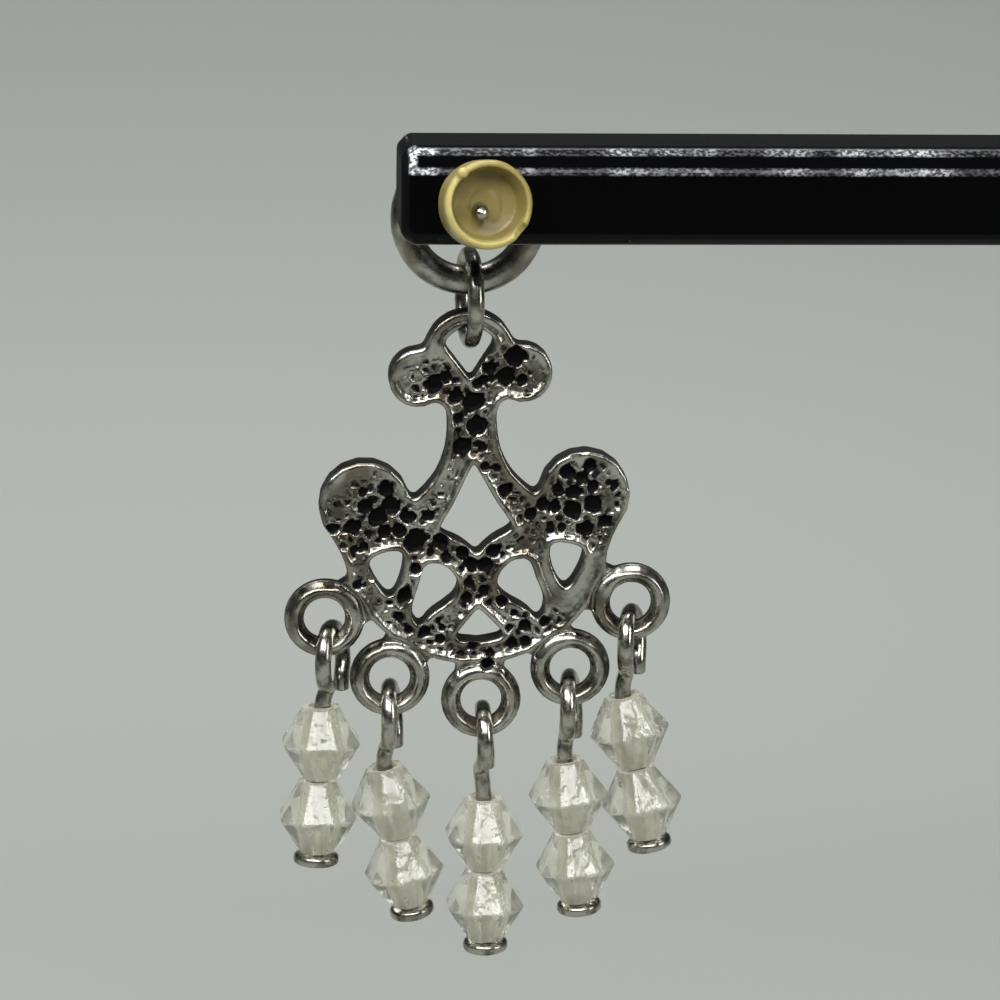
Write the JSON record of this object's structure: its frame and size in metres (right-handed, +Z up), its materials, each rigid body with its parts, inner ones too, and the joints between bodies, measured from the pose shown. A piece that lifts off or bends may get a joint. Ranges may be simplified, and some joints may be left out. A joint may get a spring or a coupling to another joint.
{
  "type": "chandelier earring on display bar",
  "caption": "Openwork cast chandelier earring with faceted clear bead drops, pinned through the end of a plain black display bar and held by a soft cup nut.",
  "frame": {"origin": "centre of the display bar's far end face, where the bar is held", "axes": "+Z up; +X out of the bar's far end face; -Y is the back of the earring, where the nut is"},
  "size_m": [0.0375, 0.012, 0.0421],
  "materials": {
    "black_acrylic": "gloss black with scuffed edges",
    "antiqued_silver": "cast, antiqued dark in its pits and polished on its high places",
    "steel_wire": "drawn plated wire, worn",
    "yellowed_silicone": "soft translucent, yellowed",
    "clear_acrylic": "clear faceted, slightly milky"
  },
  "bodies": {
    "root": {"display_bar": "black_acrylic", "stud_ring": "antiqued_silver", "ear_nut": "yellowed_silicone"},
    "link": {"jump_ring": "steel_wire"},
    "drop": {"chandelier_plate": "antiqued_silver", "head_pin_1": "steel_wire", "head_pin_2": "steel_wire", "head_pin_3": "steel_wire", "head_pin_4": "steel_wire", "head_pin_5": "steel_wire", "bead_1_upper": "clear_acrylic", "bead_1_lower": "clear_acrylic", "bead_2_upper": "clear_acrylic", "bead_2_lower": "clear_acrylic", "bead_3_upper": "clear_acrylic", "bead_3_lower": "clear_acrylic", "bead_4_upper": "clear_acrylic", "bead_4_lower": "clear_acrylic", "bead_5_upper": "clear_acrylic", "bead_5_lower": "clear_acrylic"}
  },
  "joints": [
    {"name": "link_swing", "type": "hinge", "parent": "root", "child": "link", "pos_m": [-0.0284, 0.00375, -0.00515], "axis": [1, 0, 0], "range_deg": [-75, 75]},
    {"name": "drop_sway", "type": "hinge", "parent": "link", "child": "drop", "pos_m": [-0.0283, 0.00375, -0.00806], "axis": [0, 1, 0], "range_deg": [-40, 40]}
  ]
}
